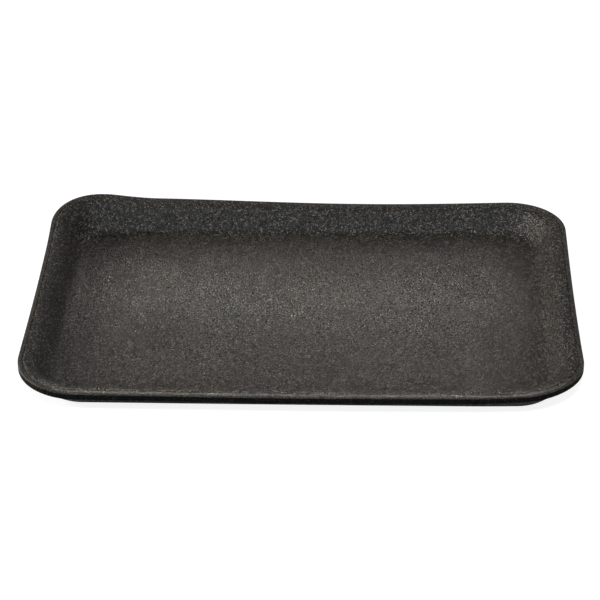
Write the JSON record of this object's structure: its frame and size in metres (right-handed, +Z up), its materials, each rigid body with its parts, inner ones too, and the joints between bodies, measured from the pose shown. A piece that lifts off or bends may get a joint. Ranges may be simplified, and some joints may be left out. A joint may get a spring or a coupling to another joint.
{
  "type": "foam meat tray",
  "caption": "Shallow rectangular tray of thin black foam with rounded corners, walls that lean out and a narrow level lip, used to pack fresh meat",
  "frame": {"origin": "middle of the flat base, on the surface that the tray rests on", "axes": "+X along the long side, +Y towards the back, +Z up out of the open top"},
  "size_m": [0.2094, 0.146, 0.0156],
  "materials": {
    "black_foam": "pebbled foam skin, dark warm grey, dull with fine bright specks"
  },
  "bodies": {
    "root": {"tray": "black_foam"}
  },
  "joints": []
}
